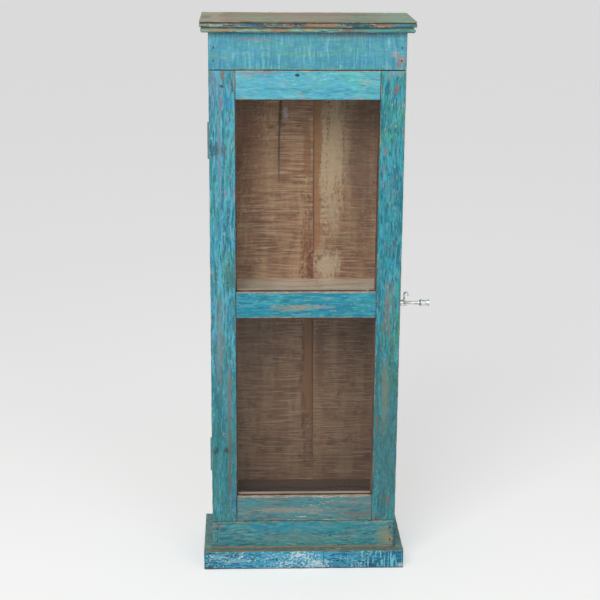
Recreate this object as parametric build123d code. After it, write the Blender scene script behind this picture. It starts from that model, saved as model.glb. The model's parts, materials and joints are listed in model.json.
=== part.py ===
from build123d import *
import os

# A narrow glazed wall cabinet of reclaimed painted timber, in millimetres.
# The front looks along -Y. Z = 0 is the underside of the base, Y = 0 is the face of the
# door, frieze and apron, and X = 0 is the centre line of the body.

# Main sizes of the body
overall_height = 1200.0
body_width = 404.0
body_depth = 187.0  # from the face of the door to the wall
arris = 1.0  # taken off the front edges of the boards

# Top boards and the cornice bead under them
top_thickness = 12.0
top_overhang = 17.0
top_front_board_width = 127.0
quirk_drop = 2.6  # from the upper arris down to the scratched quirk
quirk_height = 1.6
quirk_depth = 1.8
bead_moulding_height = 11.0
bead_moulding_projection = 15.0
torus_radius = 4.5

# Boards of the front that lie in the plane of the door
frieze_height = 87.0  # the bead moulding covers its upper edge
apron_height = 106.0  # the base band covers its lower edge
base_band_height = 43.0
base_band_thickness = 19.0
base_band_chamfer = 1.5

# Carcass
side_thickness = 20.0
post_width = 52.0
post_thickness = 22.0
tongue_thickness = 8.0
tongue_length = 8.0
head_rail_height = 128.0
frame_tenon_thickness = 8.0
frame_tenon_length = 20.0
frame_tenon_shoulder = 15.0
tenon_end_gap = 1.0  # glue space at the bottom of each mortise
shelf_thickness = 18.0
shelf_drop = 15.5  # shelf top below the top of the middle rail of the door
floor_thickness = 20.0
floor_drop = 30.5  # floor top below the top of the bottom rail of the door
housing_depth = 8.0

# Back of two tapered planks below a hanging rail, each with bark edge left on part of the seam
back_thickness = 16.0
back_rebate = 10.0
left_plank_top_width = 211.0
left_plank_foot_width = 221.0
wane_depth = 7.0  # the most that is missing at the seam
check_from_seam = 72.0  # a drying crack in the left plank, open at the top
check_length = 253.0
check_width = 3.0
check_depth = 5.0
hanging_rail_height = 103.0
hanging_hole_spacing = 300.0
hanging_hole_radius = 3.0
hanging_hole_drop = 50.0  # hole centres below the top of the rail

# Door frame, rebated from the back for the glass
door_thickness = 28.0
door_edge_gap = 1.5  # above and below the door
door_back_gap = 1.6  # between the door and the carcass
left_stile_width = 54.0
right_stile_width = 52.0
top_rail_width = 59.0
middle_rail_width = 56.0
bottom_rail_width = 57.0
lower_sight_height = 411.0
lip_thickness = 11.0  # wood left in front of the glass
rebate_width = 9.0
tenon_thickness = 9.0
tenon_length = 33.0
haunch = 12.0
peg_radius = 4.0  # to the corners of a riven eight-sided peg
peg_sides = 8
peg_from_shoulder = 15.0
peg_front_cover = 6.0  # wood left between a blind peg and the front face
glass_thickness = 3.0
glass_clearance = 1.0
glazing_bead_width = 11.5  # wider than the rebate, so the beads stand proud of the sight line
glazing_bead_chamfer = 3.0

# Butt hinges, their leaves let into the stile and the post
hinge_length = 76.0
hinge_end_distance = 110.0  # from each end of the door to the near end of its hinge
leaf_width = 22.0
leaf_thickness = 1.5
leaf_clearance = 0.2
knuckle_radius = 3.0
knuckle_count = 3
knuckle_gap = 0.3
knuckle_pocket_clearance = 0.4
hinge_axis_outset = 0.5
hinge_pin_radius = 1.5
hinge_pin_running_clearance = 0.05
hinge_screws_per_leaf = 3
hinge_screw_edge = 12.0  # from the end of a leaf to its first screw

# Countersunk wood screws of the hinges and the latch, faceted because there are many
screw_sides = 8
screw_shank_radius = 1.7
screw_head_radius = 3.2
screw_head_rim = 0.2  # above the 45 degree countersink, which is as deep as a leaf is thick
screw_length = 13.0

# Turn latch on the right side, with its keeper on the edge of the door
latch_below_middle_rail = 5.5  # lever axis below the middle of the middle rail
latch_axis_behind_front = 7.6  # lever axis behind the front of the post
latch_plate_length = 46.0
latch_plate_width = 14.0
latch_plate_thickness = 2.5
latch_plate_corner = 3.0
latch_boss_radius = 6.5
latch_boss_height = 7.5  # holds the lever off the wood
latch_screw_spacing = 37.0
latch_pocket_width = 11.0  # a square pocket chopped for the peened head
latch_pocket_depth = 4.0
spindle_radius = 3.0
spindle_running_clearance = 0.05
spindle_end_play = 0.2
peened_head_radius = 4.4
peened_head_thickness = 1.4
shoulder_radius = 6.2
hook_seat_radius = 4.5  # the hook's eye is a press fit on the lever
hook_eye_radius = 7.0
hook_thickness = 3.0
hook_width = 11.0
hook_reach = 17.8  # lever axis to the spring of the curled lip
lip_curl_radius = 3.2
lip_curl_thickness = 2.4
lip_curl_angle = 215.0
neck_radius = 3.9
neck_length = 24.0
cove_length = 5.0
grip_length = 23.0
grip_ring_place = 5.5  # from the end of the neck to the middle of the ring
grip_ring_width = 2.8
grip_ring_radius = 7.4
grip_waist_radius = 6.0
grip_end_radius = 7.2
grip_end_flare = 4.0  # length of the flared end
keeper_reach = 14.0  # lever axis to the keeper, both seen from the side
keeper_shank_radius = 1.8
keeper_head_radius = 3.0
keeper_head_thickness = 2.4
keeper_tang_length = 15.0
keeper_tang_width = 3.0  # a square tang, driven into the stile
keeper_slot_clearance = 0.8
keeper_head_clearance = 0.4

# Headless cut nails, sheared from plate
nail_length = 42.0
short_nail_length = 35.0
nail_thickness = 2.4
nail_head_width = 4.4
nail_tip_width = 1.4
nail_inset = 10.6  # from the ends of the frieze and apron
side_nail_inset = 7.0  # from the outer face of a side, for nails down into its top edge
back_nail_inset = 15.0  # from the outer face of a side, for nails through the back
frieze_nail_rises = [19.0, 45.0]  # above the lower edge of the frieze
apron_nail_drops = [16.0, 46.0]  # below the upper edge of the apron
top_nail_front = 20.0  # behind the face of the door
top_nail_seam = 20.0  # to each side of the seam between the top boards
top_nail_back = 15.0  # before the back of the body
head_nail_offset = 80.0  # from the centre line, for nails into the head rail
shelf_nail_places = [-150.0, -40.0, 70.0, 150.0]  # across the back, into the shelf and the floor
plank_nail_heights = [50.0, 350.0, 850.0]  # up each side of the back
hanging_nail_edge = 25.0  # from the upper and lower edges of the hanging rail
base_nail_places = [-170.0, -60.0, 60.0, 170.0]  # across the front of the base
base_nail_depths = [70.0, 150.0]  # along the sides of the base, behind the face of the door

# Planes and heights worked out from the sizes above
half_width = body_width / 2
underside_of_top = overall_height - top_thickness
frieze_bottom = underside_of_top - frieze_height
door_top = frieze_bottom - door_edge_gap
door_bottom = apron_height + door_edge_gap
bottom_rail_top = door_bottom + bottom_rail_width
middle_rail_bottom = bottom_rail_top + lower_sight_height
middle_rail_top = middle_rail_bottom + middle_rail_width
top_rail_bottom = door_top - top_rail_width
stile_left_inner = -half_width + left_stile_width
stile_right_inner = half_width - right_stile_width
rear_left = stile_left_inner - rebate_width
rear_right = stile_right_inner + rebate_width
carcass_front = door_thickness + door_back_gap
post_back = carcass_front + post_thickness
back_inner = body_depth - back_thickness
side_inner = half_width - side_thickness
post_inner = half_width - post_width
shelf_top = middle_rail_top - shelf_drop
floor_top = bottom_rail_top - floor_drop
head_rail_bottom = underside_of_top - head_rail_height
hanging_rail_bottom = underside_of_top - hanging_rail_height
plank_reach = side_inner + back_rebate
hinge_axis_x = -half_width - hinge_axis_outset
hinge_axis_y = door_thickness + door_back_gap / 2
latch_height = (middle_rail_bottom + middle_rail_top) / 2 - latch_below_middle_rail
latch_axis_y = carcass_front + latch_axis_behind_front
latch_plate_face = half_width + latch_plate_thickness
latch_boss_face = latch_plate_face + latch_boss_height
hook_inner_x = latch_boss_face + spindle_end_play
hook_outer_x = hook_inner_x + hook_thickness


def block(x, y, z):
    """A box between a low and a high value along each axis."""
    size = [high - low for low, high in (x, y, z)]
    middle = [(high + low) / 2 for low, high in (x, y, z)]
    return Pos(*middle) * Box(*size)


def prism_z(points, z):
    """A vertical prism over a plan outline."""
    outline = Polyline(*points, close=True)
    face = make_face(outline)
    return Pos(0, 0, z[0]) * extrude(face, z[1] - z[0])


def prism_y(points, y):
    """A prism along Y over an outline seen from the front."""
    front = Plane(origin=(0, y[0], 0), x_dir=(1, 0, 0), z_dir=(0, -1, 0))
    outline = Polyline(*points, close=True)
    return extrude(front * make_face(outline), y[0] - y[1])


def rod_y(x, z, radius, y):
    """A round bar or hole along Y."""
    centre = Pos(x, (y[0] + y[1]) / 2, z)
    return centre * Rot(90, 0, 0) * Cylinder(radius, y[1] - y[0])


def rod_x(y, z, radius, x):
    """A round bar or hole along X."""
    centre = Pos((x[0] + x[1]) / 2, y, z)
    return centre * Rot(0, 90, 0) * Cylinder(radius, x[1] - x[0])


def mirrored(solid):
    """The same piece for the other side of the body."""
    return mirror(solid, about=Plane.YZ)


def front_eased(board, along):
    """The board with its front edges along one axis eased by hand."""
    return chamfer(board.edges().filter_by(along).group_by(Axis.Y)[0], arris)


# Carcass


def side_panel():
    """The right side: a plank tongued into the post, housed for shelf and floor, rebated behind."""
    panel = block((side_inner, half_width), (post_back, body_depth), (0, underside_of_top))
    tongue_middle = half_width - side_thickness / 2
    tongue_x = (tongue_middle - tongue_thickness / 2, tongue_middle + tongue_thickness / 2)
    panel += block(tongue_x, (post_back - tongue_length, post_back), (0, underside_of_top))
    panel -= block((side_inner, side_inner + back_rebate), (back_inner, body_depth), (0, underside_of_top))
    for top, thickness in ((shelf_top, shelf_thickness), (floor_top, floor_thickness)):
        housing_x = (side_inner, side_inner + housing_depth)
        panel -= block(housing_x, (post_back, back_inner), (top - thickness, top))
    return panel


def frame_tenon_z(rail_z):
    """The height of a carcass rail's tenon, inside its shoulders."""
    return (rail_z[0] + frame_tenon_shoulder, rail_z[1] - frame_tenon_shoulder)


def frame_tenon_y():
    """The depth of a carcass rail's tenon, in the middle of the post."""
    middle = (carcass_front + post_back) / 2
    return (middle - frame_tenon_thickness / 2, middle + frame_tenon_thickness / 2)


head_rail_z = (head_rail_bottom, underside_of_top)
sill_rail_z = (0, floor_top)


def front_post():
    """The right post of the carcass front, grooved for the side panel and mortised for both rails."""
    post = block((post_inner, half_width), (carcass_front, post_back), (0, underside_of_top))
    tongue_middle = half_width - side_thickness / 2
    groove_x = (tongue_middle - tongue_thickness / 2, tongue_middle + tongue_thickness / 2)
    post -= block(groove_x, (post_back - tongue_length, post_back), (0, underside_of_top))
    mortise_x = (post_inner, post_inner + frame_tenon_length + tenon_end_gap)
    for rail_z in (head_rail_z, sill_rail_z):
        post -= block(mortise_x, frame_tenon_y(), frame_tenon_z(rail_z))
    return post


def front_rail(rail_z):
    """A rail between the posts, with a stub tenon on each end."""
    rail = block((-post_inner, post_inner), (carcass_front, post_back), rail_z)
    reach = post_inner + frame_tenon_length
    return rail + block((-reach, reach), frame_tenon_y(), frame_tenon_z(rail_z))


def housed_board(top, thickness):
    """The shelf or the floor, its ends let into the side panels."""
    reach = side_inner + housing_depth
    return block((-reach, reach), (post_back, back_inner), (top - thickness, top))


def seam_x(z):
    """Where the slanting seam of the back lies at a height."""
    top = left_plank_top_width - plank_reach
    foot = left_plank_foot_width - plank_reach
    return foot + (top - foot) * z / hanging_rail_bottom


# Bark edge left beside the seam: how far each stretch reaches from it, at drops below the
# top of the planks. The first one starts above the plank's end.
wane_of_right_plank = [
    (-5, 26),
    (78, 26),
    (109, 18),
    (156, 25),
    (206, 17),
    (256, 14),
    (312, 18),
    (368, 18),
    (395, 16),
    (412, 3),
]
wane_of_left_plank = [
    (495, 14),
    (566, 21),
    (638, 22),
    (700, 24),
    (721, 33),
    (745, 23),
    (774, 19),
    (805, 12),
    (841, 9),
    (865, 3),
]


def wane(reaches, side):
    """The wood that the bark edge lacks, on the +X or the -X side of the seam."""
    over = 1  # how far the cutter starts outside the plank
    sections = []
    for drop, reach in reaches:
        z = hanging_rail_bottom - drop
        depth = min(wane_depth, reach / 2)
        spread = side * reach * over / depth
        seam_side = seam_x(z) - spread
        plank_side = seam_x(z) + side * reach + spread
        outline = Polyline(
            (seam_side, back_inner - over),
            (plank_side, back_inner - over),
            (seam_side, back_inner + depth + over),
            close=True,
        )
        sections.append(Plane.XY.offset(z) * make_face(outline))
    return loft(sections, ruled=True)


def back_pieces():
    """Two wide planks side by side below the hanging rail, all in the rebates of the sides."""
    depth = (back_inner, body_depth)
    top = hanging_rail_bottom
    left = prism_y([(-plank_reach, 0), (seam_x(0), 0), (seam_x(top), top), (-plank_reach, top)], depth)
    right = prism_y([(seam_x(0), 0), (plank_reach, 0), (plank_reach, top), (seam_x(top), top)], depth)
    check_x = seam_x(top) - check_from_seam
    half_check = check_width / 2
    check = [(check_x - half_check, top), (check_x + half_check, top), (check_x, top - check_length)]
    left -= prism_y(check, (back_inner, back_inner + check_depth))
    rail = block((-plank_reach, plank_reach), depth, (top, underside_of_top))
    for x in (-hanging_hole_spacing / 2, hanging_hole_spacing / 2):
        rail -= rod_y(x, underside_of_top - hanging_hole_drop, hanging_hole_radius, depth)
    return {
        "back_plank_left": left - wane(wane_of_left_plank, -1),
        "back_plank_right": right - wane(wane_of_right_plank, 1),
        "hanging_rail": rail,
    }


# Top, cornice and base


def top_boards():
    """Two boards with a scratched quirk under the arris of their front and end edges."""
    reach = half_width + top_overhang
    seam = top_front_board_width - top_overhang
    height = (underside_of_top, overall_height)
    front = block((-reach, reach), (-top_overhang, seam), height)
    back = block((-reach, reach), (seam, body_depth), height)
    quirk_z = (overall_height - quirk_drop - quirk_height, overall_height - quirk_drop)
    inner = reach - quirk_depth
    front -= block((-reach, reach), (-top_overhang, quirk_depth - top_overhang), quirk_z)
    for x in ((-reach, -inner), (inner, reach)):
        front -= block(x, (-top_overhang, seam), quirk_z)
        back -= block(x, (seam, body_depth), quirk_z)
    return {"top_board_front": front_eased(front, Axis.X), "top_board_back": back}


def bead_section():
    """The bead moulding's section: a half-round torus under a set-back fillet. X is outwards."""
    flat = bead_moulding_projection - torus_radius
    nose = (bead_moulding_projection, torus_radius)
    lower = Line((0, 0), (flat, 0))
    torus = ThreePointArc((flat, 0), nose, (flat, 2 * torus_radius))
    height = bead_moulding_height
    upper = Polyline((flat, 2 * torus_radius), (flat, height), (0, height), (0, 0))
    return make_face([lower, torus, upper])


def cornice_beads():
    """The moulding under the top boards on three sides, mitred at the two front corners."""
    out = bead_moulding_projection
    bottom = underside_of_top - bead_moulding_height
    height = (bottom, underside_of_top)
    front_plane = Plane(origin=(0, 0, bottom), x_dir=(0, -1, 0), z_dir=(-1, 0, 0))
    front = extrude(front_plane * bead_section(), half_width + out, both=True)
    plan = [(-half_width - out, -out), (half_width + out, -out), (half_width, 0), (-half_width, 0)]
    front &= prism_z(plan, height)
    side_plane = Plane(origin=(half_width, 0, bottom), x_dir=(1, 0, 0), z_dir=(0, -1, 0))
    side = extrude(side_plane * bead_section(), body_depth, both=True)
    outer = half_width + out
    plan = [(half_width, 0), (outer, -out), (outer, body_depth), (half_width, body_depth)]
    side &= prism_z(plan, height)
    return {"cornice_bead_front": front, "cornice_bead_right": side, "cornice_bead_left": mirrored(side)}


def base_bands():
    """The projecting base: a front band over the ends of two side bands, with eased upper arrises."""
    out = base_band_thickness
    height = (0, base_band_height)
    front = block((-half_width - out, half_width + out), (-out, 0), height)
    front_arris = front.edges().filter_by(Axis.X).group_by(Axis.Z)[-1].sort_by(Axis.Y)[0]
    front = chamfer(front_arris, base_band_chamfer)
    side = block((half_width, half_width + out), (0, body_depth), height)
    side_arris = side.edges().filter_by(Axis.Y).group_by(Axis.Z)[-1].sort_by(Axis.X)[-1]
    side = chamfer(side_arris, base_band_chamfer)
    return {"base_band_front": front, "base_band_right": side, "base_band_left": mirrored(side)}


def front_board(z):
    """The frieze or the apron, a board over the carcass front in the plane of the door."""
    return front_eased(block((-half_width, half_width), (0, carcass_front), z), Axis.X)


# Door

tenon_y = (lip_thickness, lip_thickness + tenon_thickness)
peg_y = (peg_front_cover, door_thickness)
rebate_y = (lip_thickness, door_thickness)

# Each rail's height, and how much of each edge its tenon gives up to a rebate or a haunch
door_rails = {
    "door_rail_top": ((top_rail_bottom, door_top), rebate_width, haunch),
    "door_rail_middle": ((middle_rail_bottom, middle_rail_top), rebate_width, rebate_width),
    "door_rail_bottom": ((door_bottom, bottom_rail_top), haunch, rebate_width),
}


def tenon_z(rail):
    """The height of a door tenon."""
    rail_z, below, above = door_rails[rail]
    return (rail_z[0] + below, rail_z[1] - above)


def door_stile(outer, inner, rear):
    """An upright of the door, rebated along its inner edge and mortised for the rails."""
    stile = block(sorted((outer, inner)), (0, door_thickness), (door_bottom, door_top))
    stile = front_eased(stile, Axis.Z)
    stile -= block(sorted((inner, rear)), rebate_y, (door_bottom, door_top))
    inwards = 1 if outer > inner else -1
    mortise_end = rear + inwards * (tenon_length + tenon_end_gap)
    for rail in door_rails:
        stile -= block(sorted((rear, mortise_end)), tenon_y, tenon_z(rail))
    return stile


def door_rail(name):
    """A rail with long and short shoulders: the back reaches into the rebates of the stiles."""
    rail_z, below, above = door_rails[name]
    rail = front_eased(block((stile_left_inner, stile_right_inner), (0, lip_thickness), rail_z), Axis.X)
    back_low = rail_z[0] + (rebate_width if name != "door_rail_bottom" else 0)
    back_high = rail_z[1] - (rebate_width if name != "door_rail_top" else 0)
    rail += block((rear_left, rear_right), rebate_y, (back_low, back_high))
    return rail + block((rear_left - tenon_length, rear_right + tenon_length), tenon_y, tenon_z(name))


def door_pegs():
    """The blind pegs that lock the tenons, one through each."""
    pegs = []
    for rail in door_rails:
        low, high = tenon_z(rail)
        for x in (rear_left - peg_from_shoulder, rear_right + peg_from_shoulder):
            back = Plane(origin=(x, peg_y[1], (low + high) / 2), z_dir=(0, -1, 0))
            pegs.append(extrude(back * RegularPolygon(peg_radius, peg_sides), peg_y[1] - peg_y[0]))
    return pegs


panes = {
    "lower": (bottom_rail_top - rebate_width, middle_rail_bottom + rebate_width),
    "upper": (middle_rail_top - rebate_width, top_rail_bottom + rebate_width),
}


def glass(z):
    """A pane, loose in its rebate by the clearance all round."""
    inner_z = (z[0] + glass_clearance, z[1] - glass_clearance)
    inner_x = (rear_left + glass_clearance, rear_right - glass_clearance)
    return block(inner_x, (lip_thickness, lip_thickness + glass_thickness), inner_z)


def glazing_beads(z):
    """Four strips that hold a pane from behind, mitred, with the inner back arris taken off."""
    middle = ((rear_left + rear_right) / 2, door_thickness, (z[0] + z[1]) / 2)
    back = Plane(origin=middle, x_dir=(1, 0, 0), z_dir=(0, -1, 0))
    depth = door_thickness - lip_thickness - glass_thickness
    x = (rear_right - rear_left) / 2
    y = (z[1] - z[0]) / 2
    inner_x = x - glazing_bead_width
    inner_y = y - glazing_bead_width
    ring = extrude(back * (Rectangle(2 * x, 2 * y) - Rectangle(2 * inner_x, 2 * inner_y)), depth)
    mouth = ring.faces().sort_by(Axis.Y)[-1].inner_wires()[0]
    ring = chamfer(mouth.edges(), glazing_bead_chamfer)
    outlines = {
        "left": [(-x, -y), (-x, y), (-inner_x, inner_y), (-inner_x, -inner_y)],
        "top": [(-x, y), (x, y), (inner_x, inner_y), (-inner_x, inner_y)],
        "right": [(x, y), (x, -y), (inner_x, -inner_y), (inner_x, inner_y)],
        "bottom": [(x, -y), (-x, -y), (-inner_x, -inner_y), (inner_x, -inner_y)],
    }
    strips = {}
    for side, outline in outlines.items():
        face = make_face(Polyline(*outline, close=True))
        strips[side] = ring & extrude(back * face, depth)
    return strips


# Fasteners


def screw(place, outwards):
    """A screw with the middle of its head at a place and its head looking outwards."""
    head = extrude(RegularPolygon(screw_head_radius, screw_sides), -leaf_thickness)
    head = chamfer(head.edges().group_by(Axis.Z)[0], leaf_thickness - screw_head_rim)
    shank = extrude(RegularPolygon(screw_shank_radius, screw_sides), -screw_length)
    return Plane(origin=place, z_dir=outwards) * (head + shank)


def nail(place, outwards, length=nail_length):
    """A cut nail, one long wedge, driven until its head is flush at a place."""
    head = nail_head_width / 2
    tip = nail_tip_width / 2
    outline = [(-head, 0), (head, 0), (tip, -length), (-tip, -length)]
    flat = extrude(Plane.XZ * make_face(Polyline(*outline, close=True)), nail_thickness / 2, both=True)
    return Plane(origin=place, z_dir=outwards) * flat


def nail_groups():
    """Every group of nails, with the boards that it goes through."""
    end = half_width - nail_inset
    groups = {}
    places = [(x, frieze_bottom + rise) for x in (-end, end) for rise in frieze_nail_rises]
    nails = [nail((x, 0, z), (0, -1, 0)) for x, z in places]
    groups["frieze_nails"] = (nails, ["frieze_board", "front_post_left", "front_post_right"])

    places = [(x, apron_height - drop) for x in (-end, end) for drop in apron_nail_drops]
    nails = [nail((x, 0, z), (0, -1, 0)) for x, z in places]
    groups["apron_nails"] = (nails, ["apron_board", "front_post_left", "front_post_right"])

    side = half_width - side_nail_inset
    seam = top_front_board_width - top_overhang
    rows = (top_nail_front, seam - top_nail_seam, seam + top_nail_seam, body_depth - top_nail_back)
    places = [(x, y) for x in (-side, side) for y in rows]
    places += [(x, (carcass_front + post_back) / 2) for x in (-head_nail_offset, head_nail_offset)]
    nails = [nail((x, y, overall_height), (0, 0, 1), short_nail_length) for x, y in places]
    boards = ["top_board_front", "top_board_back", "frieze_board", "head_rail"]
    groups["top_nails"] = (nails, boards + ["side_panel_left", "side_panel_right"])

    side = half_width - back_nail_inset
    boards_z = (floor_top - floor_thickness / 2, shelf_top - shelf_thickness / 2)
    hanging_z = [hanging_rail_bottom + hanging_nail_edge, underside_of_top - hanging_nail_edge]
    places = [(x, z) for x in shelf_nail_places for z in boards_z]
    places += [(x, z) for x in (-side, side) for z in plank_nail_heights + hanging_z]
    nails = [nail((x, body_depth, z), (0, 1, 0)) for x, z in places]
    boards = ["back_plank_left", "back_plank_right", "hanging_rail", "shelf", "cabinet_floor"]
    groups["back_nails"] = (nails, boards + ["side_panel_left", "side_panel_right"])

    middle = base_band_height / 2
    nails = [nail((x, -base_band_thickness, middle), (0, -1, 0)) for x in base_nail_places]
    out = half_width + base_band_thickness
    for y in base_nail_depths:
        nails.append(nail((out, y, middle), (1, 0, 0), short_nail_length))
        nails.append(nail((-out, y, middle), (-1, 0, 0), short_nail_length))
    boards = ["base_band_front", "base_band_left", "base_band_right", "apron_board"]
    groups["base_nails"] = (nails, boards + ["side_panel_left", "side_panel_right"])
    return groups


def fasten(parts, group, bodies, boards):
    """Put a group of fasteners in, and cut their holes in the boards that they go through."""
    for name in boards:
        for body in bodies:
            parts[name] -= body
    parts[group] = Compound(children=bodies)


# Hinges

knuckle_length = hinge_length / knuckle_count
hinge_bottoms = {
    "lower": door_bottom + hinge_end_distance,
    "upper": door_top - hinge_end_distance - hinge_length,
}


def hinge_axis_rod(radius, z):
    """A round bar about the hinge axis."""
    return Pos(hinge_axis_x, hinge_axis_y, (z[0] + z[1]) / 2) * Cylinder(radius, z[1] - z[0])


def leaf_y(on_door):
    """The two faces of a leaf: the door's lies before the frame's."""
    half_gap = leaf_clearance / 2
    if on_door:
        return (hinge_axis_y - half_gap - leaf_thickness, hinge_axis_y - half_gap)
    return (hinge_axis_y + half_gap, hinge_axis_y + half_gap + leaf_thickness)


def hinge_screw_heights(bottom):
    """The heights of the screws in one leaf."""
    pitch = (hinge_length - 2 * hinge_screw_edge) / (hinge_screws_per_leaf - 1)
    return [bottom + hinge_screw_edge + i * pitch for i in range(hinge_screws_per_leaf)]


def hinge_screws(on_door):
    """Every screw of the leaves on the door or on the frame."""
    low, high = leaf_y(on_door)
    head_y = high if on_door else low
    outwards = (0, 1, 0) if on_door else (0, -1, 0)
    middle = hinge_axis_x + (leaf_width + knuckle_radius) / 2
    screws = []
    for bottom in hinge_bottoms.values():
        for z in hinge_screw_heights(bottom):
            screws.append(screw((middle, head_y, z), outwards))
    return screws


def hinge_leaf(bottom, on_door):
    """A leaf with its share of the knuckles: the door has the middle one."""
    leaf = block((hinge_axis_x, hinge_axis_x + leaf_width), leaf_y(on_door), (bottom, bottom + hinge_length))
    notch_x = (hinge_axis_x, hinge_axis_x + knuckle_radius + leaf_clearance)
    gap = knuckle_gap / 2
    for i in range(knuckle_count):
        low = bottom + i * knuckle_length
        high = low + knuckle_length
        if (i % 2 == 1) == on_door:
            leaf += hinge_axis_rod(knuckle_radius, (low, high))
        else:
            leaf -= block(notch_x, leaf_y(on_door), (low - gap, high + gap))
    bore = hinge_pin_radius + (hinge_pin_running_clearance if on_door else 0)
    return leaf - hinge_axis_rod(bore, (bottom, bottom + hinge_length))


def hinge_pin(bottom):
    """The pin, fast in the frame's knuckles and flush with their ends."""
    return hinge_axis_rod(hinge_pin_radius, (bottom, bottom + hinge_length))


def hinge_recesses(solid, on_door):
    """The solid with a pocket for each leaf and its knuckles."""
    pocket = knuckle_radius + knuckle_pocket_clearance
    for bottom in hinge_bottoms.values():
        top = bottom + hinge_length
        reach = (-half_width - knuckle_radius, hinge_axis_x + leaf_width)
        solid -= block(reach, leaf_y(on_door), (bottom, top))
        solid -= hinge_axis_rod(pocket, (bottom, top))
    return solid


# Turn latch


def latch_screws():
    """The two screws of the latch plate."""
    screws = []
    for z in (latch_height - latch_screw_spacing / 2, latch_height + latch_screw_spacing / 2):
        screws.append(screw((latch_plate_face, latch_axis_y, z), (1, 0, 0)))
    return screws


def latch_plate():
    """A plate on the side of the post, its corners clipped and its round boss bored for the spindle."""
    side = Plane(origin=(half_width, latch_axis_y, latch_height), x_dir=(0, 0, 1), z_dir=(1, 0, 0))
    outline = Rectangle(latch_plate_length, latch_plate_width)
    outline = chamfer(outline.vertices(), latch_plate_corner)
    plate = extrude(side * outline, latch_plate_thickness)
    plate += rod_x(latch_axis_y, latch_height, latch_boss_radius, (latch_plate_face, latch_boss_face))
    bore = spindle_radius + spindle_running_clearance
    return plate - rod_x(latch_axis_y, latch_height, bore, (half_width, latch_boss_face))


def latch_lever():
    """The lever, turned in one piece: peened spindle, seat for the hook, cove, neck, ringed grip."""
    head_x = half_width - spindle_end_play
    tail_x = head_x - peened_head_thickness
    cove_x = hook_outer_x + cove_length
    neck_x = cove_x + neck_length
    ring_x = neck_x + grip_ring_place
    end_x = neck_x + grip_length
    profile = Polyline(
        (tail_x, 0),
        (tail_x, peened_head_radius),
        (head_x, peened_head_radius),
        (head_x, spindle_radius),
        (hook_inner_x, spindle_radius),
        (hook_inner_x, hook_seat_radius),
        (hook_outer_x, hook_seat_radius),
        (hook_outer_x, shoulder_radius),
        (cove_x, neck_radius),
        (neck_x, neck_radius),
        (ring_x - grip_ring_width / 2, grip_ring_radius),
        (ring_x + grip_ring_width / 2, grip_ring_radius),
        (ring_x + grip_ring_width / 2, grip_waist_radius),
        (end_x - grip_end_flare, grip_waist_radius),
        (end_x, grip_end_radius),
        (end_x, 0),
        close=True,
    )
    return Pos(0, latch_axis_y, latch_height) * revolve(make_face(profile), Axis.X)


def latch_hook():
    """The hook: a plate up from its eye, slotted for the keeper, with a lip curled outwards."""
    half = hook_width / 2
    side = Plane(origin=(hook_inner_x, latch_axis_y, latch_height), x_dir=(0, 1, 0), z_dir=(1, 0, 0))
    blade = Pos(0, hook_reach / 2) * Rectangle(hook_width, hook_reach) + Circle(hook_eye_radius)
    slot_half = keeper_shank_radius + keeper_slot_clearance
    slot_arc = Circle(keeper_reach + slot_half) - Circle(keeper_reach - slot_half)
    open_half = Pos(-half, keeper_reach) * Rectangle(hook_width, hook_width)
    slot = (slot_arc & open_half) + Pos(0, keeper_reach) * Circle(slot_half)
    hook = extrude(side * (blade - slot - Circle(hook_seat_radius)), hook_thickness)
    outer = lip_curl_radius + lip_curl_thickness
    spring = Plane(
        origin=(hook_inner_x + outer, latch_axis_y + half, latch_height + hook_reach),
        x_dir=(1, 0, 0),
        z_dir=(0, -1, 0),
    )
    start = 180 - lip_curl_angle
    outside = CenterArc((0, 0), outer, start, lip_curl_angle)
    inside = CenterArc((0, 0), lip_curl_radius, start, lip_curl_angle)
    ends = [Line(outside @ 0, inside @ 0), Line(outside @ 1, inside @ 1)]
    curl = make_face([outside, inside, *ends])
    return hook + extrude(spring * curl, hook_width)


def keeper():
    """A headed pin in the edge of the door that the slot of the hook turns over."""
    y = latch_axis_y - keeper_reach
    head_x = hook_outer_x + keeper_head_clearance
    tang = block(
        (half_width - keeper_tang_length, half_width),
        (y - keeper_tang_width / 2, y + keeper_tang_width / 2),
        (latch_height - keeper_tang_width / 2, latch_height + keeper_tang_width / 2),
    )
    pin = rod_x(y, latch_height, keeper_shank_radius, (half_width, head_x))
    return tang + pin + rod_x(y, latch_height, keeper_head_radius, (head_x, head_x + keeper_head_thickness))


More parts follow.
